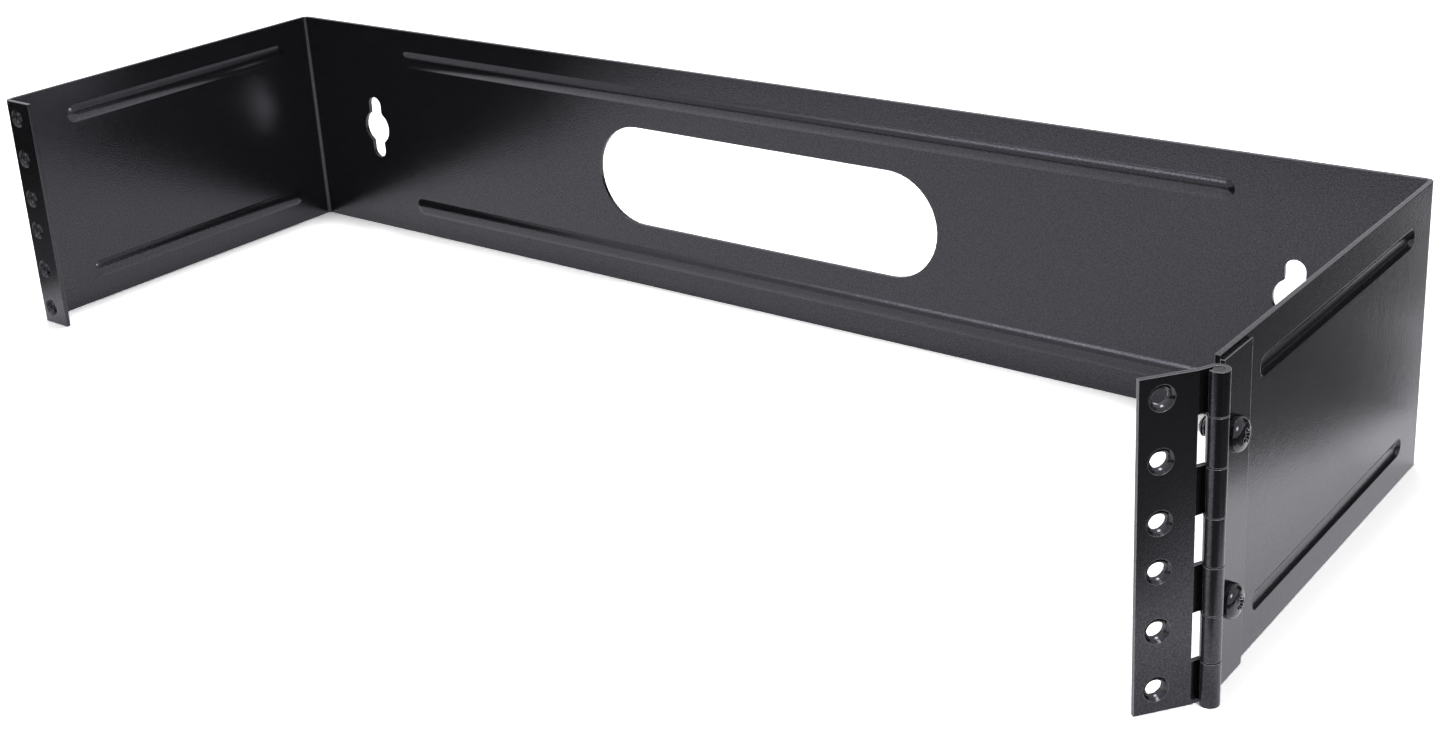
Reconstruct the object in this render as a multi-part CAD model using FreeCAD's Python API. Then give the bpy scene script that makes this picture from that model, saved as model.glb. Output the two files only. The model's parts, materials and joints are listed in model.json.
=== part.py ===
import FreeCAD, Part
import math
import os

# Own frame in millimetres: X to the right seen from the front, Y towards the wall, Z up.
# The origin is the centre of the bracket's wall face at mid height.

# Overall sizes of the folded bracket
rack_unit = 44.45
rack_units_high = 2
height = rack_units_high * rack_unit
outer_width = 484.0
depth = 147.8
sheet = 1.5
bend_inner_radius = 1.5

# Left mounting flange and the rack hole columns
flange_width = 15.6
left_column_from_side = 7.05
right_column_from_side = 11.85
hole_from_unit_edge = 6.35

# Tapped holes pressed through the sheet
thread_radius = 2.6
mouth_flare = 0.8
collar_wall = 0.75
collar_height = 1.4

# Cable slot and wall fixing keyholes in the back plate
slot_length = 152.4
slot_height = 39.3
keyhole_from_side = 39.5
keyhole_radius = 7.0
keyhole_neck_width = 6.9
keyhole_height = 26.4

# Pressed stiffening beads
bead_from_edge = 12.3
bead_mouth_width = 5.8
bead_depth = 1.2
back_bead_from_side = 60.0
side_bead_from_wall = 16.0
side_bead_from_front = 25.3

# Hinge
hinge_sheet = 1.2
hinge_top_gap = 0.9
knuckle_count = 7
knuckle_pitch = 12.9
knuckle_gap = 0.3
pin_radius = 1.45
pin_running_clearance = 0.05
pin_ahead_of_flange = 3.1
pin_end_inset = 0.15
front_leaf_reach = 19.6
side_leaf_reach = 20.3
leaf_notch_reach = 4.6
leaf_crease_deg = 10.0
wall_end_clearance = 0.2
curl_end_deg = 5.0
leaf_open_deg = 53.0

# Hinge screws, driven into tapped holes of the right wall
screw_from_pin = 10.8
screw_rise = 0.6
screw_radius = 2.5
screw_length = 8.0
screw_hole_clearance = 0.15
head_radius = 4.55
head_height = 3.7
head_shoulder_radius = 1.4
recess_span = 4.6
recess_slot_width = 1.15
recess_depth = 2.3

# Derived positions
half_width = outer_width / 2
half_height = height / 2
front_plane = -depth
left_column = -half_width + left_column_from_side
right_column = half_width - right_column_from_side
side_bore_radius = pin_radius
front_bore_radius = pin_radius + pin_running_clearance
pin_y = front_plane - pin_ahead_of_flange
wall_front = pin_y + leaf_notch_reach + wall_end_clearance
hinge_bottom = -half_height
hinge_length = height - hinge_top_gap
screw_hole_radius = screw_radius + screw_hole_clearance
screw_y = pin_y + screw_from_pin
screw_levels = (screw_rise + height / 4, screw_rise - height / 4)
unit_places = (hole_from_unit_edge, rack_unit / 2, rack_unit - hole_from_unit_edge)
unit_bases = [unit * rack_unit - half_height for unit in range(rack_units_high)]
hole_levels = [base + place for base in unit_bases for place in unit_places]


def leaf_face_ahead(bore_radius):
    """Distance of a leaf's flat front face ahead of the pin axis."""
    crease = math.radians(leaf_crease_deg)
    return (leaf_notch_reach * math.sin(crease) - bore_radius) / math.cos(crease)


side_leaf_outer = half_width + hinge_sheet
pin_x = side_leaf_outer - leaf_face_ahead(side_bore_radius)
leaf_column_from_pin = pin_x - right_column

X = FreeCAD.Vector(1, 0, 0)
Y = FreeCAD.Vector(0, 1, 0)
Z = FreeCAD.Vector(0, 0, 1)


def vec(x, y, z=0.0):
    return FreeCAD.Vector(x, y, z)


def rounded_path(points, radii):
    """Straight edges through the points with an arc at each inner corner."""
    edges = []
    start = points[0]
    for i in range(1, len(points) - 1):
        corner = points[i]
        back = (points[i - 1] - corner).normalize()
        ahead = (points[i + 1] - corner).normalize()
        half_angle = back.getAngle(ahead) / 2
        trim = radii[i - 1] / math.tan(half_angle)
        bisector = (back + ahead).normalize()
        centre = corner + bisector * (radii[i - 1] / math.sin(half_angle))
        first = corner + back * trim
        last = corner + ahead * trim
        edges.append(Part.makeLine(start, first))
        edges.append(Part.Arc(first, centre - bisector * radii[i - 1], last).toShape())
        start = last
    edges.append(Part.makeLine(start, points[-1]))
    return edges


def tapped_hole(sheet_thickness, bore_radius):
    """Collar and cutter of a pressed tapped hole, its mouth at Z = 0, running to -Z."""
    rim = bore_radius + mouth_flare
    back = -sheet_thickness
    end = back - collar_height
    cutter_outline = Part.makePolygon([
        vec(0, 0, sheet_thickness),
        vec(rim, 0, sheet_thickness),
        vec(rim, 0, 0),
        vec(bore_radius, 0, -mouth_flare),
        vec(bore_radius, 0, end - sheet_thickness),
        vec(0, 0, end - sheet_thickness),
        vec(0, 0, sheet_thickness),
    ])
    cutter = Part.Face(cutter_outline).revolve(vec(0, 0), Z, 360)
    outer = bore_radius + collar_wall
    start = vec(0, 0, back + sheet_thickness / 2)
    collar = Part.makeCylinder(outer, collar_height + sheet_thickness / 2, start, -Z)
    return collar, cutter


def press_tapped_holes(blank, sheet_thickness, bore_radius, mouths, outward):
    """Press a tapped hole into the blank at each mouth point, mouths facing outward."""
    turn = FreeCAD.Rotation(Z, outward)
    collars = []
    cutters = []
    for point in mouths:
        collar, cutter = tapped_hole(sheet_thickness, bore_radius)
        for tool in (collar, cutter):
            tool.Placement = FreeCAD.Placement(point, turn)
        collars.append(collar)
        cutters.append(cutter)
    return blank.fuse(collars).removeSplitter().cut(cutters)


def folded_sheet():
    """Left flange, left wall, back plate and right wall as one bent sheet."""
    outer = [
        vec(-half_width + flange_width, front_plane),
        vec(-half_width, front_plane),
        vec(-half_width, 0),
        vec(half_width, 0),
        vec(half_width, wall_front),
    ]
    inner = [
        vec(-half_width + flange_width, front_plane + sheet),
        vec(-half_width + sheet, front_plane + sheet),
        vec(-half_width + sheet, -sheet),
        vec(half_width - sheet, -sheet),
        vec(half_width - sheet, wall_front),
    ]
    outer_radii = [bend_inner_radius + sheet] * 3
    inner_radii = [bend_inner_radius] * 3
    edges = rounded_path(outer, outer_radii)
    edges.append(Part.makeLine(outer[-1], inner[-1]))
    edges += rounded_path(inner, inner_radii)
    edges.append(Part.makeLine(inner[0], outer[0]))
    wire = Part.Wire(Part.__sortEdges__(edges))
    profile = Part.Face(wire)
    profile.translate(vec(0, 0, -half_height))
    return profile.extrude(vec(0, 0, height))


def capsule(radius, start, end):
    """Round-ended bar between two points."""
    along = end - start
    bar = Part.makeCylinder(radius, along.Length, start, along)
    return bar.fuse([Part.makeSphere(radius, start), Part.makeSphere(radius, end)])


def bead_tools(start, end, inward):
    """Raised bump and pressed recess of a bead along an outer face of the sheet."""
    half_mouth = bead_mouth_width / 2
    recess_radius = (half_mouth ** 2 + bead_depth ** 2) / (2 * bead_depth)
    axis_shift = inward * (bead_depth - recess_radius)
    first = start + axis_shift
    last = end + axis_shift
    run = (last - first).normalize()
    recess = capsule(recess_radius, first, last)
    bump = capsule(recess_radius + sheet, first, last)
    reach = recess_radius + sheet
    side = run.cross(inward)
    corner = start + inward * (sheet / 2) - run * reach - side * reach
    along = run * ((last - first).Length + 2 * reach)
    base = Part.makePolygon([
        corner,
        corner + along,
        corner + along + side * (2 * reach),
        corner + side * (2 * reach),
        corner,
    ])
    keep = Part.Face(base).extrude(inward * reach)
    return bump.common(keep), recess


def bead_lines():
    """End points and inward direction of every bead, on the sheet's outer faces."""
    lines = []
    half_mouth = bead_mouth_width / 2
    half_run = half_width - back_bead_from_side - half_mouth
    rear = -side_bead_from_wall - half_mouth
    front = front_plane + side_bead_from_front + half_mouth
    for level in (half_height - bead_from_edge, bead_from_edge - half_height):
        lines.append((vec(-half_run, 0, level), vec(half_run, 0, level), -Y))
        for side in (-1, 1):
            x = side * half_width
            lines.append((vec(x, rear, level), vec(x, front, level), -X * side))
    return lines


def stadium_cutter(length, width, centre_x, upright):
    """Round-ended cutter through the back plate, lying or upright."""
    radius = width / 2
    run = length - width
    size = (width, run) if upright else (run, width)
    start_y = -2 * sheet
    through = 4 * sheet
    corner = vec(centre_x - size[0] / 2, start_y, -size[1] / 2)
    cutter = Part.makeBox(size[0], through, size[1], corner)
    for side in (-1, 1):
        end = side * run / 2
        centre = vec(centre_x, start_y, end) if upright else vec(centre_x + end, start_y, 0)
        cutter = cutter.fuse(Part.makeCylinder(radius, through, centre, Y))
    return cutter


def wall_bracket():
    """Folded bracket with beads, cable slot, keyholes and tapped holes."""
    body = folded_sheet()
    bumps = []
    recesses = []
    for start, end, inward in bead_lines():
        bump, recess = bead_tools(start, end, inward)
        bumps.append(bump)
        recesses.append(recess)
    body = body.fuse(bumps).cut(recesses)
    cutters = [stadium_cutter(slot_length, slot_height, 0, False)]
    for side in (-1, 1):
        x = side * (half_width - keyhole_from_side)
        cutters.append(stadium_cutter(keyhole_height, keyhole_neck_width, x, True))
        start = vec(x, -2 * sheet, 0)
        cutters.append(Part.makeCylinder(keyhole_radius, 4 * sheet, start, Y))
    body = body.cut(cutters)
    screw_mouths = [vec(half_width, screw_y, level) for level in screw_levels]
    body = press_tapped_holes(body, sheet, screw_radius, screw_mouths, X)
    rack_mouths = [vec(left_column, front_plane, level) for level in hole_levels]
    return press_tapped_holes(body, sheet, thread_radius, rack_mouths, -Y)


def rolled_leaf(along, normal, bore_radius, reach):
    """Hinge leaf of full height, rolled round the pin axis at the local origin."""
    outer_radius = bore_radius + hinge_sheet
    front = leaf_face_ahead(bore_radius)
    back = front - hinge_sheet
    half_crease = math.radians(leaf_crease_deg / 2)
    back_crease = leaf_notch_reach + hinge_sheet * math.tan(half_crease)

    def point(u, v):
        return along * u + normal * v

    def on_roll(radius, angle_deg):
        a = math.radians(angle_deg)
        return point(radius * math.cos(a), radius * math.sin(a))

    start_deg = leaf_crease_deg - 90
    end_deg = curl_end_deg - 360
    middle_deg = (start_deg + end_deg) / 2
    outer_arc = Part.Arc(
        on_roll(outer_radius, start_deg),
        on_roll(outer_radius, middle_deg),
        on_roll(outer_radius, end_deg),
    ).toShape()
    inner_arc = Part.Arc(
        on_roll(bore_radius, start_deg),
        on_roll(bore_radius, middle_deg),
        on_roll(bore_radius, end_deg),
    ).toShape()
    lower = [point(reach, back), point(back_crease, back), on_roll(outer_radius, start_deg)]
    upper = [on_roll(bore_radius, start_deg), point(leaf_notch_reach, front)]
    upper.append(point(reach, front))
    edges = Part.makePolygon(lower).Edges + [outer_arc]
    edges.append(Part.makeLine(on_roll(outer_radius, end_deg), on_roll(bore_radius, end_deg)))
    edges += [inner_arc] + Part.makePolygon(upper).Edges
    edges.append(Part.makeLine(upper[-1], lower[0]))
    profile = Part.Face(Part.Wire(Part.__sortEdges__(edges)))
    return profile.extrude(vec(0, 0, hinge_length))


def knuckle_notch(along, normal, index, outermost):
    """Block that clears the other leaf's knuckle, index 0 at the bottom."""
    knuckle_middle = half_height + (index - outermost / 2) * knuckle_pitch
    low = knuckle_middle - (knuckle_pitch + knuckle_gap) / 2
    high = knuckle_middle + (knuckle_pitch + knuckle_gap) / 2
    if index == 0:
        low -= knuckle_pitch
    if index == outermost:
        high += knuckle_pitch
    reach = leaf_notch_reach
    corners = [
        along * reach - normal * reach,
        along * reach + normal * reach,
        along * -reach + normal * reach,
        along * -reach - normal * reach,
    ]
    face = Part.Face(Part.makePolygon(corners + corners[:1]))
    face.translate(vec(0, 0, low))
    return face.extrude(vec(0, 0, high - low))


def hinge_leaf(along, normal, bore_radius, reach, keeps_even):
    """Rolled leaf at the pin, notched where the other leaf has its knuckles."""
    leaf = rolled_leaf(along, normal, bore_radius, reach)
    notches = []
    for index in range(knuckle_count):
        if (index % 2 == 0) != keeps_even:
            notches.append(knuckle_notch(along, normal, index, knuckle_count - 1))
    leaf = leaf.cut(notches)
    leaf.translate(vec(pin_x, pin_y, hinge_bottom))
    return leaf


def hinge_front_leaf():
    """Swinging leaf with the right-hand column of tapped rack holes."""
    angle = math.radians(leaf_open_deg)
    along = vec(-math.cos(angle), -math.sin(angle))
    normal = vec(math.sin(angle), -math.cos(angle))
    leaf = hinge_leaf(along, normal, front_bore_radius, front_leaf_reach, True)
    column = vec(pin_x, pin_y) + along * leaf_column_from_pin
    column += normal * leaf_face_ahead(front_bore_radius)
    mouths = [column + Z * level for level in hole_levels]
    return press_tapped_holes(leaf, hinge_sheet, thread_radius, mouths, normal)


def hinge_side_leaf():
    """Fixed leaf on the outer face of the right wall."""
    leaf = hinge_leaf(Y, X, side_bore_radius, side_leaf_reach, False)
    cutters = []
    for level in screw_levels:
        start = vec(half_width - hinge_sheet, screw_y, level)
        cutters.append(Part.makeCylinder(screw_hole_radius, 3 * hinge_sheet, start, X))
    return leaf.cut(cutters)


def hinge_pin():
    """Plain pin through all the knuckles."""
    start = vec(pin_x, pin_y, hinge_bottom + pin_end_inset)
    return Part.makeCylinder(pin_radius, hinge_length - 2 * pin_end_inset, start, Z)


def hinge_screw(level):
    """Pan head screw with a cross recess, its head on the side leaf's outer face."""
    shoulder_start = vec(head_radius, 0, head_height - head_shoulder_radius)
    shoulder_end = vec(head_radius - head_shoulder_radius, 0, head_height)
    shoulder_centre = vec(shoulder_end.x, 0, shoulder_start.z)
    middle = shoulder_centre + (X + Z).normalize() * head_shoulder_radius
    outline = [
        shoulder_end,
        vec(0, 0, head_height),
        vec(0, 0, -screw_length),
        vec(screw_radius, 0, -screw_length),
        vec(screw_radius, 0, 0),
        vec(head_radius, 0, 0),
        shoulder_start,
    ]
    shoulder = Part.Arc(shoulder_start, middle, shoulder_end).toShape()
    wire = Part.Wire(Part.makePolygon(outline).Edges + [shoulder])
    screw = Part.Face(wire).revolve(vec(0, 0), Z, 360)
    floor = head_height - recess_depth
    cuts = []
    for turn in (0, 90):
        taper = Part.makePolygon([
            vec(-recess_span / 2, -recess_slot_width / 2, head_height),
            vec(-recess_span / 2, -recess_slot_width / 2, 2 * head_height),
            vec(recess_span / 2, -recess_slot_width / 2, 2 * head_height),
            vec(recess_span / 2, -recess_slot_width / 2, head_height),
            vec(recess_slot_width / 2, -recess_slot_width / 2, floor),
            vec(-recess_slot_width / 2, -recess_slot_width / 2, floor),
            vec(-recess_span / 2, -recess_slot_width / 2, head_height),
        ])
        wing = Part.Face(taper).extrude(vec(0, recess_slot_width, 0))
        wing.rotate(vec(0, 0), Z, turn)
        cuts.append(wing)
    screw = screw.cut(cuts)
    place = FreeCAD.Placement(vec(side_leaf_outer, screw_y, level), FreeCAD.Rotation(Z, X))
    screw.Placement = place
    return screw


def export(name, shape):
    if len(shape.Solids) != 1 or not shape.isValid():
        raise ValueError(name + " is not one valid solid")
    shape.Solids[0].exportStep("parts/" + name + ".step")


os.makedirs("parts", exist_ok=True)
export("wall_bracket", wall_bracket())
export("hinge_side_leaf", hinge_side_leaf())
export("hinge_front_leaf", hinge_front_leaf())
export("hinge_pin", hinge_pin())
export("hinge_screw_upper", hinge_screw(screw_levels[0]))
export("hinge_screw_lower", hinge_screw(screw_levels[1]))
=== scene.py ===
import json
import math

import bmesh
import bpy
from bpy.props import FloatProperty, FloatVectorProperty, PointerProperty
from mathutils import Matrix, Vector


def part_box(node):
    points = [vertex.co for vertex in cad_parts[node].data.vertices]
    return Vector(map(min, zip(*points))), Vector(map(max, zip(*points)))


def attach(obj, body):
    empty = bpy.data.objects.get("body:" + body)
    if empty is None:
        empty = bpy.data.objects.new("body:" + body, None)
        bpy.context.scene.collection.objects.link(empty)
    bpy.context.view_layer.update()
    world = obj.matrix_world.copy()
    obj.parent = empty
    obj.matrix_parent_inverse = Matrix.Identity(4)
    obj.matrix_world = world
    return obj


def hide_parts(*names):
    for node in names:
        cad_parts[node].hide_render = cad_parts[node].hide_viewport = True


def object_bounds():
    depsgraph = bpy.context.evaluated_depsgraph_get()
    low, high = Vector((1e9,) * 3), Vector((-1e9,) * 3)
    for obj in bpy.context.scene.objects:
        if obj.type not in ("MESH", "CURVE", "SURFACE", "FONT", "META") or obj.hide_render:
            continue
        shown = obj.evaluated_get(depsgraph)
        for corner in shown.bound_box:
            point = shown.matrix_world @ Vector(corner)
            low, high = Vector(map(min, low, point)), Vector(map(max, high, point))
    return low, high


bl_info = {
    "name": "Hinged rack wall bracket",
    "version": (1, 0, 0),
    "blender": (4, 5, 0),
    "location": "View3D > Sidebar > Rack Bracket",
    "description": "Finishes, fasteners, threads and studio stage of a hinged rack wall bracket",
    "category": "Object",
}

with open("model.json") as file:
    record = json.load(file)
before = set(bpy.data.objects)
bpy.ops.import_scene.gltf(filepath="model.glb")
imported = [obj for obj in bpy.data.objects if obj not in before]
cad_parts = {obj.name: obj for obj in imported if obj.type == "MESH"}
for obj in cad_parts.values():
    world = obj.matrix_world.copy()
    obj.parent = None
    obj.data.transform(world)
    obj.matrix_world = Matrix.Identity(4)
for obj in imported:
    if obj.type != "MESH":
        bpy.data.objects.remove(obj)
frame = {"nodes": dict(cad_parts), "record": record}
cad_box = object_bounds()

MM = 0.001
SCREW_LABELS = ("upper", "lower")

# Holes and screws of the solids, in millimetres
FLANGE_SHEET = 1.5
LEAF_SHEET = 1.2
COLLAR_HEIGHT = 1.4
MOUTH_FLARE = 0.8
BORE_RADIUS = 2.6
LEAF_MOUNT_DEPTH = 1.7

# Thread ridges: steps in a turn, overlap with the bore's wall, the section as shares of the
# ridge's height and pitch, its first and last place in pitches, and how it tapers out
TURN_STEPS = 36
RIDGE_OVERLAP = 0.03
RIDGE_SECTION = ((0.0, -0.42), (1.0, -0.08), (1.0, 0.08), (0.0, 0.42))
RIDGE_FIRST = 0.5
RIDGE_LAST = 0.45
RIDGE_TAPER = 4.0
LEAST_RIDGE = 0.04
LEAST_DEPTH = 0.02

# Angles in degrees over which the shading stays sharp
THREAD_CREASE = 25.0
SCREW_CREASE = 32.0

# Turned outline of the hinge screws in millimetres: the tip's chamfer is its rise, the radius
# it takes off and its thread share, and the neck's levels have thread shares too
SCREW_STEPS = 48
THREAD_ROOT = 0.42
TIP_CUT = 0.75
TIP_CHAMFER = (0.35, 0.3, 0.6)
THREAD_RISE = 0.45
THREAD_STEP = 0.08
THREAD_TOP = -3.3
NECK_LEVELS = ((-3.2, 0.3), (-3.1, 0.0), (0.0, 0.0))
FOOT_RADIUS = 0.25
FOOT_RINGS = 4
SHOULDER_RINGS = 8
SHOULDER_SWEEP = 0.94
CROWN_RISE = 0.5
CROWN_RINGS = 7
RECESS_TURN = 20.0

# Cross recess: room over the face, added arm length and wing width there, and its deep end
RECESS_ROOM = 1.5
RECESS_FLARE = (0.75, 0.12)
FACE_FLARE = 0.05
POINT_LEVEL = 0.8
POINT_SHARES = (0.75, 0.36)
POINT_END = (0.12, 0.1)
CORNER_CHAMFER = 0.3
CORNER_LIMIT = 0.95

# Grain of the black finishes: scales per metre, the grain values of the darkest and lightest
# spots, and how the spots' colours follow from the finish's colour
GRAIN_SCALE = 1900.0
WAVE_SCALE = 160.0
WAVE_SHARE = 0.35
CLOUD_SCALE = 22.0
SPOT_RANGE = (0.35, 0.68)
LIGHT_SPOT = (2.4, 0.003)
DARK_SPOT = 0.2

# Shine of the black finishes, and the lighter colour of their edges, which is painted highlight
COOL_TINT = (0.885, 0.86, 1.0, 1.0)
EDGE_GAIN = 6.0
COAT_SHINE = 0.74
HINGE_SHINE = 0.78
# Light hinge edges are painted highlight lines along the knuckles and their joints
HINGE_EDGE_HIGHLIGHT = (0.35, 0.35, 0.36)
HINGE_FINENESS = 0.6
# Thread coats: a darker, duller copy as painted shade and a brighter copy as painted highlight
THREAD_PAINTED_SHADE = (0.25, (0.02, 0.02, 0.021))
THREAD_PAINTED_HIGHLIGHT = (0.8, (0.1, 0.1, 0.105))
THREAD_EDGE_RADIUS = 0.06
SCREW_SHINE = 0.6
# Near-white screw edges are painted glint on the recess and head rims
SCREW_EDGE_GLINT = (0.7, 0.7, 0.71)
SCREW_EDGE_RADIUS = 0.18
SCREW_SPREAD = 0.06
PIN_COLOUR = (0.012, 0.012, 0.0125)
PIN_ROUGHNESS = 0.3
PIN_METALLIC = 0.2
PIN_SHINE = 0.4
# Pin edges are painted highlight round the pin's ends
PIN_EDGE_HIGHLIGHT = (0.2, 0.2, 0.205)
PIN_EDGE_RADIUS = 0.12
FINE_GRAIN = 0.004
PIN_GRAIN = 0.008

# The photograph's camera: place in millimetres, turns in radians, lens in pixels of the frame
CAMERA_PLACE = (408.70, -533.10, 224.76)
CAMERA_YAW = -0.675792
CAMERA_PITCH = -0.338143
CAMERA_ROLL = -0.058856
FOCAL_PIXELS = 1937.90
CENTRE_PIXELS = (722.5, 230.0)
FRAME_PIXELS = (1445, 735)
SENSOR_WIDTH = 36.0

# Outline in metres of the pale board that the object reflects, and of the dark cloth round it,
# with the cloth's glow near the board and far off, and its rings' rises, shares and reaches
BOARD_INSIDE = (
    (0.262, -0.010), (0.278, -0.046), (0.290, -0.110), (0.280, -0.155), (0.266, -0.168),
    (0.250, -0.172), (0.225, -0.190), (0.225, -0.290), (0.100, -0.310), (-0.100, -0.310),
    (-0.235, -0.290), (-0.250, -0.165), (-0.250, 0.020), (-0.200, 0.300), (0.180, 0.300),
    (0.270, 0.240), (0.262, 0.100), (0.251, 0.032),
)
BOARD_OUTSIDE = (
    (0.276, -0.004), (0.293, -0.042), (0.332, -0.105), (0.365, -0.172), (0.300, -0.190),
    (0.266, -0.190), (0.250, -0.205), (0.260, -0.330), (0.120, -0.350), (-0.100, -0.350),
    (-0.280, -0.330), (-0.285, -0.175), (-0.285, 0.020), (-0.250, 0.400), (0.210, 0.400),
    (0.338, 0.250), (0.287, 0.100), (0.264, 0.034),
)
FLAG_NEAR = 0.24
FLAG_FAR = 0.04
FLAG_RISES = (0.001, 0.001, 0.002, 0.01)
FLAG_MIDDLE = 0.5
FLAG_SHARES = (0.0, FLAG_MIDDLE, 1.0, 1.0)
FLAG_REACHES = (0.15, 0.8)

# Upright dark cloth behind the right end: its middle, radius, columns and rows in metres
CURTAIN_MIDDLE = (0.25, -0.1)
CURTAIN_RADIUS = 1.6
CURTAIN_COLUMNS = ((5.0, 0.0), (15.0, 1.0), (36.0, 1.0), (44.0, 0.0))
CURTAIN_ROWS = ((0.002, 1.0), (0.77, 1.0), (1.1, 0.0))

# Floor and lamps: places, targets and sizes in metres
FLOOR_REACH = 6.0
KEY_LAMP = ((-0.5, 0.4, 4.0), (0.0, -0.07, 0.0), (1.0, 1.0))
FILL_LAMP = ((0.75, -0.4, 0.5), (0.3, -0.1, -0.04), (0.25, 0.25))
STRIP_LAMP = ((-0.9, -2.3, 1.5), (0.0, 0.0, 0.0), (1.4, 0.5))


# Node helpers

def add_node(tree, kind, place, **settings):
    """Add a node at a place in the tree and set its plain properties."""
    node = tree.nodes.new(kind)
    node.location = place
    for key, value in settings.items():
        setattr(node, key, value)
    return node


def group_tree(name, inputs, outputs):
    """Empty shader group with named float, vector or colour sockets."""
    tree = bpy.data.node_groups.new(name, "ShaderNodeTree")
    for label, kind, value in inputs:
        socket = tree.interface.new_socket(label, in_out="INPUT", socket_type=kind)
        if value is not None:
            socket.default_value = value
    for label, kind in outputs:
        tree.interface.new_socket(label, in_out="OUTPUT", socket_type=kind)
    entry = add_node(tree, "NodeGroupInput", (-900, 0))
    leave = add_node(tree, "NodeGroupOutput", (700, 0))
    return tree, entry, leave


def maths(tree, operation, place, first, second=None, clamp=False):
    """Math node whose inputs are sockets or plain numbers."""
    node = add_node(tree, "ShaderNodeMath", place, operation=operation, use_clamp=clamp)
    for index, value in enumerate((first, second)):
        if isinstance(value, bpy.types.NodeSocket):
            tree.links.new(value, node.inputs[index])
        elif value is not None:
            node.inputs[index].default_value = value
    return node.outputs[0]


def mixed_colour(tree, place, factor, low, high):
    """Colour that runs from low to high with the factor socket."""
    node = add_node(tree, "ShaderNodeMix", place, data_type="RGBA")
    tree.links.new(factor, node.inputs["Factor"])
    for label, value in (("A", low), ("B", high)):
        sockets = [s for s in node.inputs if s.name == label and s.type == "RGBA"]
        if isinstance(value, bpy.types.NodeSocket):
            tree.links.new(value, sockets[0])
        else:
            sockets[0].default_value = (*value, 1.0)
    return [s for s in node.outputs if s.type == "RGBA"][0]


# Finishes

def coat_grain_group():
    """Fine grain and slow waviness of a sprayed and baked coat."""
    tree, entry, leave = group_tree(
        "coat_grain",
        [
            ("Vector", "NodeSocketVector", None),
            ("Grain Scale", "NodeSocketFloat", GRAIN_SCALE),
            ("Wave Scale", "NodeSocketFloat", WAVE_SCALE),
            ("Wave Share", "NodeSocketFloat", WAVE_SHARE),
        ],
        [
            ("Height", "NodeSocketFloat"),
            ("Grain", "NodeSocketFloat"),
            ("Cloud", "NodeSocketFloat"),
        ],
    )
    links = tree.links
    grain = add_node(tree, "ShaderNodeTexNoise", (-600, 200))
    grain.inputs["Detail"].default_value = 2.0
    grain.inputs["Roughness"].default_value = 0.55
    wave = add_node(tree, "ShaderNodeTexNoise", (-600, -100))
    wave.inputs["Detail"].default_value = 1.0
    cloud = add_node(tree, "ShaderNodeTexNoise", (-600, -400))
    cloud.inputs["Scale"].default_value = CLOUD_SCALE
    cloud.inputs["Detail"].default_value = 3.0
    for texture in (grain, wave, cloud):
        links.new(entry.outputs["Vector"], texture.inputs["Vector"])
    links.new(entry.outputs["Grain Scale"], grain.inputs["Scale"])
    links.new(entry.outputs["Wave Scale"], wave.inputs["Scale"])
    waved = maths(tree, "MULTIPLY", (-300, -100), wave.outputs["Fac"], entry.outputs["Wave Share"])
    height = maths(tree, "ADD", (-50, 100), grain.outputs["Fac"], waved)
    links.new(height, leave.inputs["Height"])
    links.new(grain.outputs["Fac"], leave.inputs["Grain"])
    links.new(cloud.outputs["Fac"], leave.inputs["Cloud"])
    return tree


def soft_edge_group():
    """Rounded shading normal along sharp edges, and a mask of those edges."""
    tree, entry, leave = group_tree(
        "soft_edge",
        [("Radius", "NodeSocketFloat", None), ("Gain", "NodeSocketFloat", EDGE_GAIN)],
        [("Normal", "NodeSocketVector"), ("Edge", "NodeSocketFloat")],
    )
    links = tree.links
    bevel = add_node(tree, "ShaderNodeBevel", (-600, 100), samples=8)
    links.new(entry.outputs["Radius"], bevel.inputs["Radius"])
    geometry = add_node(tree, "ShaderNodeNewGeometry", (-600, -200))
    dot = add_node(tree, "ShaderNodeVectorMath", (-350, 0), operation="DOT_PRODUCT")
    links.new(bevel.outputs["Normal"], dot.inputs[0])
    links.new(geometry.outputs["Normal"], dot.inputs[1])
    away = maths(tree, "SUBTRACT", (-100, 0), 1.0, dot.outputs["Value"])
    gained = maths(tree, "MULTIPLY", (150, 0), away, entry.outputs["Gain"], clamp=True)
    links.new(bevel.outputs["Normal"], leave.inputs["Normal"])
    links.new(gained, leave.inputs["Edge"])
    return tree


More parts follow.
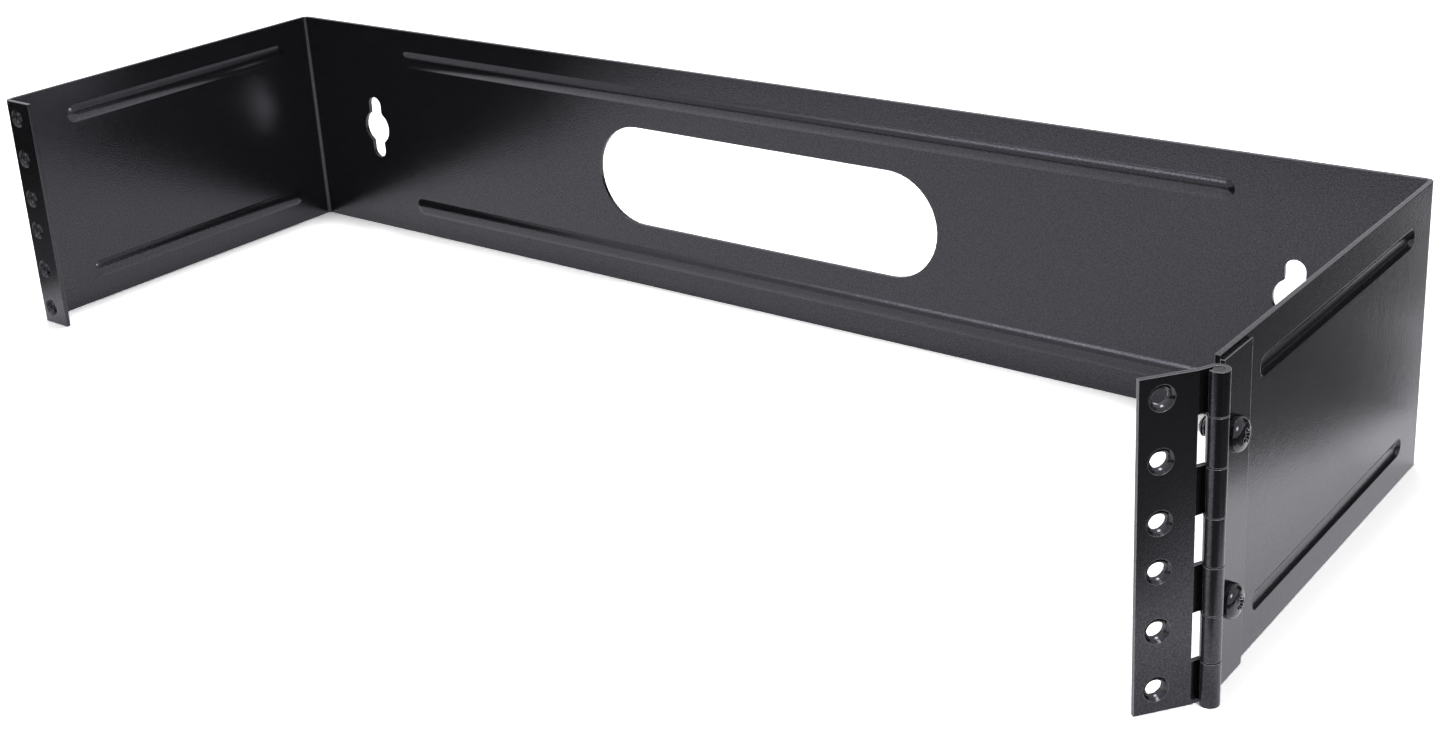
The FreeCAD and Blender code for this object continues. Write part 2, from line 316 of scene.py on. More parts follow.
def black_finish(name, colour, roughness, edge_wear_and_highlight, shine, edge_radius, grain_height,
                 metallic=0.0, mottle=0.0, spread=0.12):
    """Dark finish with grain, slow tone changes and soft edges lightened as painted highlight."""
    groups = shared_groups()
    material = bpy.data.materials.new(name)
    material.use_nodes = True
    tree = material.node_tree
    tree.nodes.clear()
    links = tree.links
    output = add_node(tree, "ShaderNodeOutputMaterial", (900, 0))
    shader = add_node(tree, "ShaderNodeBsdfPrincipled", (600, 0))
    links.new(shader.outputs["BSDF"], output.inputs["Surface"])
    coordinates = add_node(tree, "ShaderNodeTexCoord", (-900, 0))
    grain = add_node(tree, "ShaderNodeGroup", (-600, 0), node_tree=groups["coat_grain"])
    links.new(coordinates.outputs["Object"], grain.inputs["Vector"])
    edge = add_node(tree, "ShaderNodeGroup", (-600, -300), node_tree=groups["soft_edge"])
    edge.inputs["Radius"].default_value = edge_radius * MM
    light = tuple(min(1.0, c * LIGHT_SPOT[0] + LIGHT_SPOT[1]) for c in colour)
    dark = tuple(c * DARK_SPOT for c in colour)
    spots = add_node(tree, "ShaderNodeMapRange", (-430, 250))
    spots.inputs["From Min"].default_value = SPOT_RANGE[0]
    spots.inputs["From Max"].default_value = SPOT_RANGE[1]
    links.new(grain.outputs["Grain"], spots.inputs["Value"])
    tone = mixed_colour(tree, (-250, 250), spots.outputs["Result"], dark, light)
    # The edge mask mixes in the edge colour: painted highlight along edges, on the bracket also
    # its thinner coat
    worn_and_highlit = mixed_colour(tree, (0, 250), edge.outputs["Edge"], tone, edge_wear_and_highlight)
    links.new(worn_and_highlit, shader.inputs["Base Color"])
    swing = maths(tree, "SUBTRACT", (-250, -50), grain.outputs["Cloud"], 0.5)
    swung = maths(tree, "MULTIPLY", (-50, -50), swing, spread)
    rough = maths(tree, "ADD", (150, -50), swung, roughness)
    links.new(rough, shader.inputs["Roughness"])
    bump = add_node(tree, "ShaderNodeBump", (300, -300))
    bump.inputs["Strength"].default_value = 1.0
    bump.inputs["Distance"].default_value = grain_height * MM
    links.new(grain.outputs["Height"], bump.inputs["Height"])
    links.new(edge.outputs["Normal"], bump.inputs["Normal"])
    links.new(bump.outputs["Normal"], shader.inputs["Normal"])
    if mottle:
        duller = maths(tree, "MULTIPLY", (-50, 450), spots.outputs["Result"], mottle)
        links.new(duller, shader.inputs["Metallic"])
    else:
        shader.inputs["Metallic"].default_value = metallic
    shader.inputs["Specular IOR Level"].default_value = shine
    shader.inputs["Specular Tint"].default_value = COOL_TINT
    return material


def shared_groups():
    """The shader groups, made once."""
    makers = {"coat_grain": coat_grain_group, "soft_edge": soft_edge_group}
    return {name: bpy.data.node_groups.get(name) or make() for name, make in makers.items()}


def powder_coat():
    """Black powder coat of the bracket."""
    settings = bpy.context.scene.rack_coat
    return black_finish(
        "black_powder_coat", settings.colour, settings.roughness, settings.edge_wear_and_highlight,
        COAT_SHINE, settings.edge_radius / MM, settings.grain_height / MM,
        mottle=settings.mottle)


def hinge_coat():
    """Glossier black coat of the hinge leaves, with painted highlight on their edges."""
    settings = bpy.context.scene.rack_coat
    return black_finish(
        "black_hinge_coat", settings.colour, settings.hinge_roughness, HINGE_EDGE_HIGHLIGHT,
        HINGE_SHINE, settings.edge_radius / MM * HINGE_FINENESS,
        settings.grain_height / MM * HINGE_FINENESS, mottle=settings.mottle)


def thread_coat(name, shine, edge_wear_and_highlight):
    """Coat of the cut threads, with crisp crests, whose shine and edge colour paint light and
    shade.
    """
    settings = bpy.context.scene.rack_coat
    return black_finish(
        name, settings.colour, settings.hinge_roughness, edge_wear_and_highlight, shine,
        THREAD_EDGE_RADIUS, FINE_GRAIN)


def gloss_black():
    """Smoother black finish of the screws, with painted glint on their edges."""
    settings = bpy.context.scene.rack_fasteners
    return black_finish(
        "gloss_black_steel", settings.colour, settings.roughness, SCREW_EDGE_GLINT, SCREW_SHINE,
        SCREW_EDGE_RADIUS, FINE_GRAIN, spread=SCREW_SPREAD)


def pin_steel():
    """Blackened steel of the hinge pin, with painted highlight on its edges."""
    return black_finish(
        "black_pin_steel", PIN_COLOUR, PIN_ROUGHNESS, PIN_EDGE_HIGHLIGHT, PIN_SHINE, PIN_EDGE_RADIUS,
        PIN_GRAIN, metallic=PIN_METALLIC)


def dress_node(name, material):
    """Give a carried-over solid its material in every slot."""
    node = frame["nodes"][name]
    if not node.material_slots:
        node.data.materials.append(material)
    for slot in node.material_slots:
        slot.material = material
    return node


# Mesh helpers

def mesh_object(name, builder, material):
    """Object made from a bmesh builder, with one material."""
    mesh = bpy.data.meshes.new(name)
    bm = bmesh.new()
    builder(bm)
    bmesh.ops.recalc_face_normals(bm, faces=bm.faces)
    bm.to_mesh(mesh)
    bm.free()
    piece = bpy.data.objects.new(name, mesh)
    bpy.context.scene.collection.objects.link(piece)
    mesh.materials.append(material)
    return piece


def bore_wall(depth):
    """Radius of a tapped hole's wall at a depth below its mouth, in millimetres."""
    left = max(0.0, MOUTH_FLARE - depth)
    return BORE_RADIUS + MOUTH_FLARE - math.sqrt(MOUTH_FLARE ** 2 - left ** 2)


def thread_ridge(bm, place, start, end, height, pitch, steps):
    """Helical ridge on a bore's wall along +Z of the placement, tapering out at both ends."""
    count = max(2, round((end - start) / pitch * steps))
    rings = []
    for k in range(count + 1):
        angle = 2 * math.pi * k / steps
        middle = start + pitch * k / steps
        fade = max(min(1.0, RIDGE_TAPER * min(k, count - k) / steps), LEAST_RIDGE)
        ring = []
        for share, rise in RIDGE_SECTION:
            z = max(LEAST_DEPTH, middle + rise * pitch)
            radius = bore_wall(z) + RIDGE_OVERLAP - share * fade * (height + RIDGE_OVERLAP)
            point = Vector((radius * math.cos(angle), radius * math.sin(angle), z))
            ring.append(bm.verts.new(place @ (point * MM)))
        rings.append(ring)
    for first, second in zip(rings, rings[1:]):
        for j in range(4):
            n = (j + 1) % 4
            bm.faces.new((first[j], first[n], second[n], second[j]))
    bm.faces.new(rings[0])
    bm.faces.new(list(reversed(rings[-1])))


def placement(point, direction):
    """Matrix whose Z axis is the direction and whose origin is the point in millimetres."""
    turn = Vector(direction).to_track_quat("Z", "Y").to_matrix().to_4x4()
    return Matrix.Translation(Vector(point) * MM) @ turn


def threads_of_column(name, mouths, inward, length, material, body):
    """One piece with the thread ridges of a column of tapped holes."""
    settings = bpy.context.scene.rack_threads
    pitch = settings.pitch / MM

    def build(bm):
        for mouth in mouths:
            thread_ridge(bm, placement(mouth, inward), RIDGE_FIRST * pitch,
                         length - RIDGE_LAST * pitch, settings.depth / MM, pitch, TURN_STEPS)

    piece = mesh_object(name, build, material)
    shade_by_angle(piece, THREAD_CREASE)
    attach(piece, body)
    return piece


def screw_outline(settings):
    """Rings of the screw from its tip to the head's centre: height, radius, thread share."""
    shank = settings.shank_radius / MM
    head = settings.head_radius / MM
    rise = settings.head_height / MM
    shoulder = settings.shoulder_radius / MM
    tip = -settings.length / MM
    lift, cut, share = TIP_CHAMFER
    rings = [(tip, 0.0, 0.0), (tip, shank - TIP_CUT, 0.0), (tip + lift, shank - cut, share)]
    z = tip + THREAD_RISE
    while z < THREAD_TOP:
        rings.append((z, shank, 1.0))
        z += THREAD_STEP
    rings += [(level, shank, share) for level, share in NECK_LEVELS]
    rings.append((0.0, head - FOOT_RADIUS, 0.0))
    for k in range(1, FOOT_RINGS + 1):
        a = math.pi / 2 * k / FOOT_RINGS
        rings.append((FOOT_RADIUS * (1 - math.cos(a)),
                      head - FOOT_RADIUS * (1 - math.sin(a)), 0.0))
    low = rise - CROWN_RISE - shoulder
    rings.append((low, head, 0.0))
    for k in range(1, SHOULDER_RINGS + 1):
        a = math.pi / 2 * k / SHOULDER_RINGS * SHOULDER_SWEEP
        rings.append((low + shoulder * math.sin(a), head - shoulder * (1 - math.cos(a)), 0.0))
    top, edge = rings[-1][0], rings[-1][1]
    for k in range(1, CROWN_RINGS + 1):
        share = 1 - k / (CROWN_RINGS + 0.5)
        rings.append((rise - (rise - top) * share ** 2, edge * share, 0.0))
    rings.append((rise, 0.0, 0.0))
    return rings


def build_screw(bm, rings, pitch, depth, place, steps):
    """Closed turned surface with a helical thread where the rings ask for it."""
    loops = []
    for z, radius, share in rings:
        if radius == 0.0:
            loops.append([bm.verts.new(place @ Vector((0, 0, z * MM)))])
            continue
        loop = []
        for k in range(steps):
            angle = 2 * math.pi * k / steps
            phase = (z / pitch - k / steps) % 1.0
            cut = abs(2 * phase - 1)
            r = radius - share * depth * cut
            loop.append(bm.verts.new(place @ Vector((
                r * math.cos(angle) * MM, r * math.sin(angle) * MM, z * MM))))
        loops.append(loop)
    for first, second in zip(loops, loops[1:]):
        for k in range(steps):
            n = (k + 1) % steps
            if len(first) == 1:
                bm.faces.new((first[0], second[n], second[k]))
            elif len(second) == 1:
                bm.faces.new((first[k], first[n], second[0]))
            else:
                bm.faces.new((first[k], first[n], second[n], second[k]))


def cross_cutter(bm, place, span, slot, depth, top):
    """Tapered cross that cuts the recess, as one closed star-shaped prism."""
    levels = (
        (top + RECESS_ROOM, span / 2 + RECESS_FLARE[0], slot / 2 + RECESS_FLARE[1]),
        (top, span / 2, slot / 2 + FACE_FLARE),
        (top - depth * POINT_LEVEL, slot * POINT_SHARES[0], slot * POINT_SHARES[1]),
        (top - depth, *POINT_END),
    )
    loops = []
    for z, arm, half in levels:
        inner = min(half, arm * CORNER_LIMIT)
        corner = inner + CORNER_CHAMFER * (z >= top)
        loop = []
        for quarter in range(4):
            turn = Matrix.Rotation(math.pi / 2 * quarter, 3, "Z")
            for x, y in ((arm, -inner), (arm, inner), (corner, corner)):
                loop.append(bm.verts.new(place @ (turn @ Vector((x, y, z)) * MM)))
        loops.append(loop)
    for first, second in zip(loops, loops[1:]):
        for k in range(len(first)):
            n = (k + 1) % len(first)
            bm.faces.new((first[k], first[n], second[n], second[k]))
    bm.faces.new(loops[0])
    bm.faces.new(list(reversed(loops[-1])))


def cut_piece(piece, cutter):
    """Cut one mesh out of another, keep the result in the piece and remove the cutter."""
    modifier = piece.modifiers.new("recess", "BOOLEAN")
    modifier.operation = "DIFFERENCE"
    modifier.solver = "EXACT"
    modifier.object = cutter
    bpy.context.view_layer.update()
    evaluated = piece.evaluated_get(bpy.context.evaluated_depsgraph_get())
    result = bpy.data.meshes.new_from_object(evaluated)
    piece.modifiers.clear()
    piece.data = result
    bpy.data.objects.remove(cutter)
    if not piece.data.polygons:
        raise RuntimeError(piece.name + " has no faces after its recess was cut")


def shade_by_angle(piece, degrees):
    """Smooth shading except across edges sharper than the angle."""
    mesh = piece.data
    mesh.polygons.foreach_set("use_smooth", [True] * len(mesh.polygons))
    mesh.set_sharp_from_angle(angle=math.radians(degrees))


# Stage

def floor_material(settings):
    """Pale floor, overexposed to the camera so that only the contact shadow stays."""
    material = bpy.data.materials.new("pale_floor")
    material.use_nodes = True
    tree = material.node_tree
    shader = tree.nodes["Principled BSDF"]
    output = tree.nodes["Material Output"]
    coordinates = add_node(tree, "ShaderNodeTexCoord", (-800, 0))
    noise = add_node(tree, "ShaderNodeTexNoise", (-600, 0))
    noise.inputs["Scale"].default_value = 30.0
    tree.links.new(coordinates.outputs["Object"], noise.inputs["Vector"])
    colour = tuple(settings.floor_colour)
    paler = tuple(min(1.0, c * 1.02) for c in colour)
    tone = mixed_colour(tree, (-300, 0), noise.outputs["Fac"], colour, paler)
    tree.links.new(tone, shader.inputs["Base Color"])
    shader.inputs["Roughness"].default_value = 0.9
    shader.inputs["Specular IOR Level"].default_value = 0.1
    path = add_node(tree, "ShaderNodeLightPath", (-800, -400))
    lift = maths(tree, "MULTIPLY", (-300, -400), path.outputs["Is Glossy Ray"],
                 settings.floor_lift)
    shader.inputs["Emission Color"].default_value = (1, 1, 1, 1)
    tree.links.new(lift, shader.inputs["Emission Strength"])
    bright = add_node(tree, "ShaderNodeBsdfDiffuse", (200, -300))
    bright.inputs["Color"].default_value = (settings.floor_gain,) * 3 + (1.0,)
    mix = add_node(tree, "ShaderNodeMixShader", (500, 0))
    tree.links.new(path.outputs["Is Camera Ray"], mix.inputs["Fac"])
    tree.links.new(shader.outputs["BSDF"], mix.inputs[1])
    tree.links.new(bright.outputs["BSDF"], mix.inputs[2])
    output.location = (800, 0)
    tree.links.new(mix.outputs["Shader"], output.inputs["Surface"])
    return material


def world_light(settings):
    """Even pale light, white where the camera or a reflection sees it."""
    world = bpy.data.worlds.new("studio")
    bpy.context.scene.world = world
    world.use_nodes = True
    tree = world.node_tree
    tree.nodes.clear()
    output = add_node(tree, "ShaderNodeOutputWorld", (600, 0))
    even = add_node(tree, "ShaderNodeBackground", (0, 100))
    even.inputs["Color"].default_value = (1, 1, 1, 1)
    even.inputs["Strength"].default_value = settings.world_strength
    white = add_node(tree, "ShaderNodeBackground", (0, -100))
    white.inputs["Color"].default_value = (1, 1, 1, 1)
    white.inputs["Strength"].default_value = 1.0
    path = add_node(tree, "ShaderNodeLightPath", (-600, 300))
    first = maths(tree, "MAXIMUM", (-400, 300), path.outputs["Is Camera Ray"],
                  path.outputs["Is Glossy Ray"])
    seen = maths(tree, "MAXIMUM", (-200, 300), first, path.outputs["Is Transmission Ray"])
    mix = add_node(tree, "ShaderNodeMixShader", (300, 0))
    tree.links.new(seen, mix.inputs["Fac"])
    tree.links.new(even.outputs["Background"], mix.inputs[1])
    tree.links.new(white.outputs["Background"], mix.inputs[2])
    tree.links.new(mix.outputs["Shader"], output.inputs["Surface"])


def soft_lamp(name, setup, power):
    """Rectangular lamp set up by its place, target and size."""
    place, target, size = setup
    data = bpy.data.lights.new(name, "AREA")
    data.shape = "RECTANGLE"
    data.size, data.size_y = size
    data.energy = power
    lamp = bpy.data.objects.new(name, data)
    lamp.location = place
    aim = Vector(target) - Vector(place)
    lamp.rotation_euler = aim.to_track_quat("-Z", "Y").to_euler()
    bpy.context.scene.collection.objects.link(lamp)
    return lamp


def flag_cloth():
    """Dark cloth that is clear where its share is nought and darkens with the share."""
    found = bpy.data.materials.get("flag_cloth")
    if found:
        return found
    material = bpy.data.materials.new("flag_cloth")
    material.use_nodes = True
    tree = material.node_tree
    tree.nodes.clear()
    output = add_node(tree, "ShaderNodeOutputMaterial", (600, 0))
    clear = add_node(tree, "ShaderNodeBsdfTransparent", (0, 150))
    dark = add_node(tree, "ShaderNodeEmission", (0, -150))
    coordinates = add_node(tree, "ShaderNodeTexCoord", (-900, 0))
    split = add_node(tree, "ShaderNodeSeparateXYZ", (-700, 0))
    tree.links.new(coordinates.outputs["UV"], split.inputs["Vector"])
    cover = add_node(tree, "ShaderNodeMapRange", (-400, 0), interpolation_type="SMOOTHSTEP")
    cover.inputs["From Max"].default_value = FLAG_MIDDLE
    tree.links.new(split.outputs["X"], cover.inputs["Value"])
    tone = add_node(tree, "ShaderNodeMapRange", (-400, -300))
    tone.inputs["From Min"].default_value = FLAG_MIDDLE
    tone.inputs["To Min"].default_value = FLAG_NEAR
    tone.inputs["To Max"].default_value = FLAG_FAR
    tree.links.new(split.outputs["X"], tone.inputs["Value"])
    tree.links.new(tone.outputs["Result"], dark.inputs["Strength"])
    mix = add_node(tree, "ShaderNodeMixShader", (300, 0))
    tree.links.new(cover.outputs["Result"], mix.inputs["Fac"])
    tree.links.new(clear.outputs["BSDF"], mix.inputs[1])
    tree.links.new(dark.outputs["Emission"], mix.inputs[2])
    tree.links.new(mix.outputs["Shader"], output.inputs["Surface"])
    return material


def only_reflected(cloth):
    """Mark a cloth as stage and hide it from everything but reflections."""
    cloth.visible_camera = False
    cloth.visible_diffuse = False
    cloth.visible_transmission = False
    cloth.visible_shadow = False
    return cloth


def shared_face(bm, layer, corners):
    """Face through pairs of vertex and share, which keeps each share in the UV layer."""
    face = bm.faces.new([vertex for vertex, share in corners])
    for loop, (vertex, share) in zip(face.loops, corners):
        loop[layer].uv = (share, 0.0)


def dark_flag(ground):
    """Dark cloth on the floor round a pale board, which only reflections see."""
    def cloth(bm):
        layer = bm.loops.layers.uv.new("share")
        inner = [Vector(p) for p in BOARD_INSIDE]
        outer = [Vector(p) for p in BOARD_OUTSIDE]
        middle = sum(inner, Vector((0.0, 0.0))) / len(inner)
        wider = [[p + (p - middle).normalized() * reach for p in outer]
                 for reach in FLAG_REACHES]
        loops = []
        for ring, rise, share in zip((inner, outer, *wider), FLAG_RISES, FLAG_SHARES):
            loops.append([(bm.verts.new((p.x, p.y, ground + rise)), share) for p in ring])
        for first, second in zip(loops, loops[1:]):
            for k in range(len(first)):
                n = (k + 1) % len(first)
                shared_face(bm, layer, (first[k], first[n], second[n], second[k]))

    return only_reflected(mesh_object("dark_flag", cloth, flag_cloth()))


def dark_curtain(ground):
    """Dark upright cloth behind the right end of the object, which only reflections see."""
    def cloth(bm):
        layer = bm.loops.layers.uv.new("share")
        columns = []
        for degrees, share in CURTAIN_COLUMNS:
            x = CURTAIN_MIDDLE[0] + CURTAIN_RADIUS * math.sin(math.radians(degrees))
            y = CURTAIN_MIDDLE[1] + CURTAIN_RADIUS * math.cos(math.radians(degrees))
            columns.append([(bm.verts.new((x, y, ground + rise)), share * keep)
                            for rise, keep in CURTAIN_ROWS])
        for first, second in zip(columns, columns[1:]):
            for j in range(len(CURTAIN_ROWS) - 1):
                shared_face(bm, layer, (first[j], second[j], second[j + 1], first[j + 1]))

    return only_reflected(mesh_object("dark_curtain", cloth, flag_cloth()))


def photo_camera():
    """Camera at the photograph's viewing angle."""
    yaw, pitch, roll = CAMERA_YAW, CAMERA_PITCH, CAMERA_ROLL
    ahead = Vector((math.sin(yaw) * math.cos(pitch), math.cos(yaw) * math.cos(pitch),
                    math.sin(pitch)))
    level = Vector((math.cos(yaw), -math.sin(yaw), 0.0))
    up = level.cross(ahead)
    right = level * math.cos(roll) + up * math.sin(roll)
    top = up * math.cos(roll) - level * math.sin(roll)
    data = bpy.data.cameras.new("photo_camera")
    data.sensor_fit = "HORIZONTAL"
    data.sensor_width = SENSOR_WIDTH
    data.lens = FOCAL_PIXELS / FRAME_PIXELS[0] * SENSOR_WIDTH
    data.shift_x = (FRAME_PIXELS[0] / 2 - CENTRE_PIXELS[0]) / FRAME_PIXELS[0]
    data.shift_y = (CENTRE_PIXELS[1] - FRAME_PIXELS[1] / 2) / FRAME_PIXELS[0]
    data.clip_start = 0.01
    data.clip_end = 50.0
    camera = bpy.data.objects.new("photo_camera", data)
    turn = Matrix((right, top, -ahead)).transposed().to_4x4()
    camera.matrix_world = Matrix.Translation(Vector(CAMERA_PLACE) * MM) @ turn
    bpy.context.scene.collection.objects.link(camera)
    bpy.context.scene.camera = camera
    return camera


# Settings

class RackCoatSettings(bpy.types.PropertyGroup):
    """Powder coat of the bracket and the hinge leaves"""

    colour: FloatVectorProperty(
        name="Colour", description="Base colour of the coat", subtype="COLOR",
        default=(0.004, 0.004, 0.0045), min=0.0, max=1.0, size=3)
    # Edge colour of the coat: partly its thinner coat over edges, partly painted highlight along
    # them
    edge_wear_and_highlight: FloatVectorProperty(
        name="Edge colour", description="Colour where the coat thins over an edge",
        subtype="COLOR", default=(0.06, 0.06, 0.063), min=0.0, max=1.0, size=3)
    roughness: FloatProperty(
        name="Roughness", description="Mean roughness of the coat",
        default=0.17, min=0.0, max=1.0, subtype="FACTOR")
    hinge_roughness: FloatProperty(
        name="Hinge roughness", description="Mean roughness of the hinge leaves",
        default=0.15, min=0.0, max=1.0, subtype="FACTOR")
    mottle: FloatProperty(
        name="Mottle", description="How far the grain's light spots dull the coat's shine",
        default=0.55, min=0.0, max=1.0, subtype="FACTOR")
    grain_height: FloatProperty(
        name="Grain height", description="Height of the coat's grain",
        default=0.00004, min=0.0, max=0.001, subtype="DISTANCE", unit="LENGTH", precision=5)
    edge_radius: FloatProperty(
        name="Edge radius", description="Rounding of the coated edges",
        default=0.0004, min=0.0, max=0.002, subtype="DISTANCE", unit="LENGTH", precision=4)


class RackFastenerSettings(bpy.types.PropertyGroup):
    """Sizes and finish of the hinge screws"""

    colour: FloatVectorProperty(
        name="Colour", description="Base colour of the screws", subtype="COLOR",
        default=(0.006, 0.006, 0.0065), min=0.0, max=1.0, size=3)
    roughness: FloatProperty(
        name="Roughness", description="Mean roughness of the screws",
        default=0.1, min=0.0, max=1.0, subtype="FACTOR")
    shank_radius: FloatProperty(
        name="Shank radius", description="Outer radius of the screw thread",
        default=0.0025, min=0.001, max=0.005, subtype="DISTANCE", unit="LENGTH", precision=4)
    length: FloatProperty(
        name="Length", description="Length below the head",
        default=0.008, min=0.004, max=0.02, subtype="DISTANCE", unit="LENGTH", precision=4)
    head_radius: FloatProperty(
        name="Head radius", description="Radius of the pan head",
        default=0.00455, min=0.003, max=0.01, subtype="DISTANCE", unit="LENGTH", precision=4)
    head_height: FloatProperty(
        name="Head height", description="Height of the pan head over its seat",
        default=0.0037, min=0.001, max=0.01, subtype="DISTANCE", unit="LENGTH", precision=4)
    shoulder_radius: FloatProperty(
        name="Shoulder radius", description="Rounding between the head's side and its face",
        default=0.0022, min=0.0002, max=0.003, subtype="DISTANCE", unit="LENGTH", precision=4)
    recess_span: FloatProperty(
        name="Recess span", description="Width across the cross recess",
        default=0.0046, min=0.002, max=0.008, subtype="DISTANCE", unit="LENGTH", precision=4)
    recess_slot: FloatProperty(
        name="Recess slot", description="Width of each wing of the recess",
        default=0.00115, min=0.0004, max=0.003, subtype="DISTANCE", unit="LENGTH", precision=5)
    recess_depth: FloatProperty(
        name="Recess depth", description="Depth of the cross recess",
        default=0.0023, min=0.0005, max=0.004, subtype="DISTANCE", unit="LENGTH", precision=4)
    pitch: FloatProperty(
        name="Pitch", description="Pitch of the screw thread",
        default=0.0008, min=0.0003, max=0.002, subtype="DISTANCE", unit="LENGTH", precision=4)


class RackThreadSettings(bpy.types.PropertyGroup):
    """Threads of the tapped rack holes"""

    pitch: FloatProperty(
        name="Pitch", description="Pitch of the tapped holes' thread",
        default=0.001, min=0.0004, max=0.003, subtype="DISTANCE", unit="LENGTH", precision=4)
    depth: FloatProperty(
        name="Depth", description="Height of the thread inside the bore",
        default=0.0004, min=0.0001, max=0.001, subtype="DISTANCE", unit="LENGTH", precision=5)


class RackStageSettings(bpy.types.PropertyGroup):
    """Floor and lamps"""

    floor_colour: FloatVectorProperty(
        name="Floor colour", description="Colour of the floor", subtype="COLOR",
        default=(0.85, 0.85, 0.85), min=0.0, max=1.0, size=3)
    floor_gain: FloatProperty(
        name="Floor gain", description="Brightness of the floor to the camera, over white",
        default=2.0, min=0.0, max=4.0)
    floor_lift: FloatProperty(
        name="Floor lift", description="Light that the floor adds in reflections",
        default=0.6, min=0.0, max=1.0)
    key_power: FloatProperty(
        name="Key power", description="Power of the large lamp overhead",
        default=85.0, min=0.0, max=500.0, subtype="POWER")
    fill_power: FloatProperty(
        name="Fill power", description="Power of the soft lamp at the front right",
        default=2.4, min=0.0, max=100.0, subtype="POWER")
    strip_power: FloatProperty(
        name="Strip power", description="Power of the long lamp at the front left",
        default=10.0, min=0.0, max=100.0, subtype="POWER")
    world_strength: FloatProperty(
        name="World strength", description="Strength of the even light from all round",
        default=0.35, min=0.0, max=2.0)


# Operators

class RACK_OT_coat_bracket(bpy.types.Operator):
    """Coat the folded bracket"""

    bl_idname = "rack.coat_bracket"
    bl_label = "Coat bracket"

    def execute(self, context):
        dress_node("wall_bracket", powder_coat())
        return {"FINISHED"}


class RACK_OT_finish_hinge(bpy.types.Operator):
    """Finish the two rolled leaves and the pin"""

    bl_idname = "rack.finish_hinge"
    bl_label = "Finish hinge"

    def execute(self, context):
        coat = hinge_coat()
        for name in ("hinge_side_leaf", "hinge_front_leaf"):
            dress_node(name, coat)
        dress_node("hinge_pin", pin_steel())
        return {"FINISHED"}


class RACK_OT_make_screws(bpy.types.Operator):
    """Make the two pan head screws with their threads and cross recesses"""

    bl_idname = "rack.make_screws"
    bl_label = "Make screws"

    def execute(self, context):
        settings = context.scene.rack_fasteners
        finish = gloss_black()
        rings = screw_outline(settings)
        for label in SCREW_LABELS:
            low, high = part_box("hinge_screw_" + label)
            middle = (low + high) / 2
            seat = Vector((high.x - settings.head_height, middle.y, middle.z))
            place = placement(seat / MM, (1, 0, 0))
            turn = place @ Matrix.Rotation(math.radians(RECESS_TURN), 4, "Z")

            def screw(bm):
                build_screw(bm, rings, settings.pitch / MM, THREAD_ROOT, turn, SCREW_STEPS)

            def recess(bm):
                cross_cutter(bm, turn, settings.recess_span / MM, settings.recess_slot / MM,
                             settings.recess_depth / MM, settings.head_height / MM)

            piece = mesh_object("pan_screw_" + label, screw, finish)
            cut_piece(piece, mesh_object("recess_" + label, recess, finish))
            shade_by_angle(piece, SCREW_CREASE)
            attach(piece, "bracket")
            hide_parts("hinge_screw_" + label)
        return {"FINISHED"}


class RACK_OT_cut_threads(bpy.types.Operator):
    """Make the threads inside both columns of tapped holes"""

    bl_idname = "rack.cut_threads"
    bl_label = "Cut threads"

    def execute(self, context):
        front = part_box("wall_bracket")[0].y
        flange = []
        leaf = []
        for mount in frame["record"]["mounts"]:
            place = Vector(mount["pos_m"])
            if mount["name"].startswith("flange_holes_"):
                half = mount["dims"]["spacing_y_mm"] / 2
                for level in (half, -half):
                    flange.append(Vector((place.x / MM, front / MM, level)))
            if mount["name"].startswith("leaf_hole_"):
                normal = Vector(mount["axis"])
                leaf.append(place / MM + normal * LEAF_MOUNT_DEPTH)
        # Flange threads get the darker copy as painted shade, leaf threads the brighter copy as
        # painted highlight
        dim = thread_coat("thread_coat_painted_shade", *THREAD_PAINTED_SHADE)
        bright = thread_coat("thread_coat_painted_highlight", *THREAD_PAINTED_HIGHLIGHT)
        threads_of_column("flange_threads", flange, (0, 1, 0),
                          FLANGE_SHEET + COLLAR_HEIGHT, dim, "bracket")
        threads_of_column("leaf_threads", leaf, -normal,
                          LEAF_SHEET + COLLAR_HEIGHT, bright, "front_leaf")
        return {"FINISHED"}


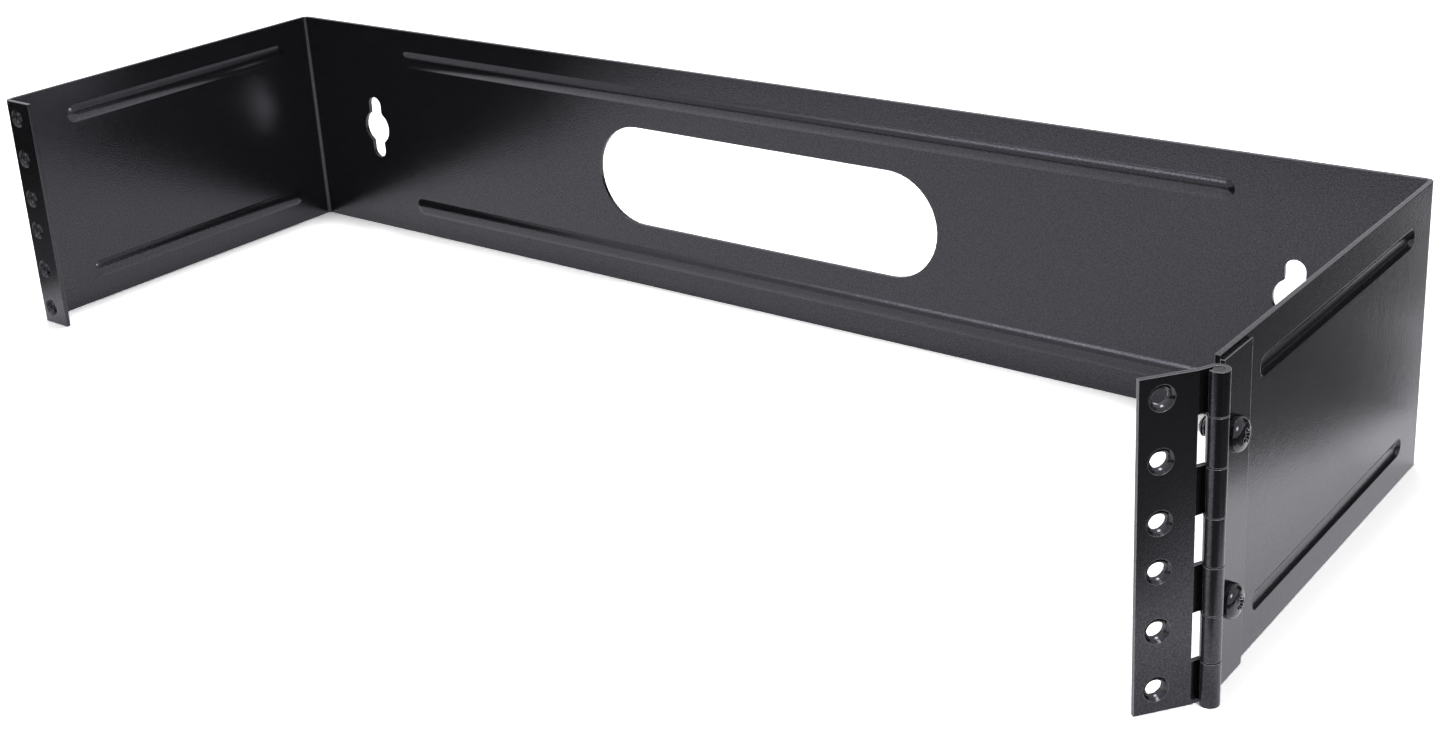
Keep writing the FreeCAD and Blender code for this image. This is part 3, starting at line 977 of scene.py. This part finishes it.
class RACK_OT_set_stage(bpy.types.Operator):
    """Set up the floor, the lamps, the world and the camera"""

    bl_idname = "rack.set_stage"
    bl_label = "Set stage"

    def execute(self, context):
        settings = context.scene.rack_stage
        ground = cad_box[0].z

        def sheet(bm):
            corners = ((-1, -1), (1, -1), (1, 1), (-1, 1))
            bm.faces.new([bm.verts.new((x * FLOOR_REACH, y * FLOOR_REACH, ground))
                          for x, y in corners])

        floor = mesh_object("floor", sheet, floor_material(settings))
        world_light(settings)
        soft_lamp("key_lamp", KEY_LAMP, settings.key_power)
        soft_lamp("fill_lamp", FILL_LAMP, settings.fill_power)
        soft_lamp("strip_lamp", STRIP_LAMP, settings.strip_power)
        dark_flag(ground)
        dark_curtain(ground)
        photo_camera()
        context.scene.view_settings.view_transform = "Standard"
        return {"FINISHED"}


# Panel and registration

class RACK_PT_panel(bpy.types.Panel):
    """Steps and settings of the rack bracket"""

    bl_label = "Rack bracket"
    bl_idname = "RACK_PT_panel"
    bl_space_type = "VIEW_3D"
    bl_region_type = "UI"
    bl_category = "Rack Bracket"

    def draw(self, context):
        layout = self.layout
        for step in STEPS:
            layout.operator(step.bl_idname)
        for group in (context.scene.rack_coat, context.scene.rack_fasteners,
                      context.scene.rack_threads, context.scene.rack_stage):
            box = layout.box()
            for key in group.bl_rna.properties.keys():
                if key not in ("rna_type", "name"):
                    box.prop(group, key)


STEPS = (
    RACK_OT_coat_bracket,
    RACK_OT_finish_hinge,
    RACK_OT_make_screws,
    RACK_OT_cut_threads,
    RACK_OT_set_stage,
)
SETTINGS = {
    "rack_coat": RackCoatSettings,
    "rack_fasteners": RackFastenerSettings,
    "rack_threads": RackThreadSettings,
    "rack_stage": RackStageSettings,
}


def register():
    for name, group in SETTINGS.items():
        bpy.utils.register_class(group)
        setattr(bpy.types.Scene, name, PointerProperty(type=group))
    for step in STEPS:
        bpy.utils.register_class(step)
    bpy.utils.register_class(RACK_PT_panel)


def unregister():
    bpy.utils.unregister_class(RACK_PT_panel)
    for step in reversed(STEPS):
        bpy.utils.unregister_class(step)
    for name, group in SETTINGS.items():
        delattr(bpy.types.Scene, name)
        bpy.utils.unregister_class(group)


def main():
    """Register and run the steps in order."""
    register()
    bpy.ops.rack.coat_bracket()
    bpy.ops.rack.finish_hinge()
    bpy.ops.rack.make_screws()
    bpy.ops.rack.cut_threads()
    bpy.ops.rack.set_stage()


if __name__ == "__main__":
    main()
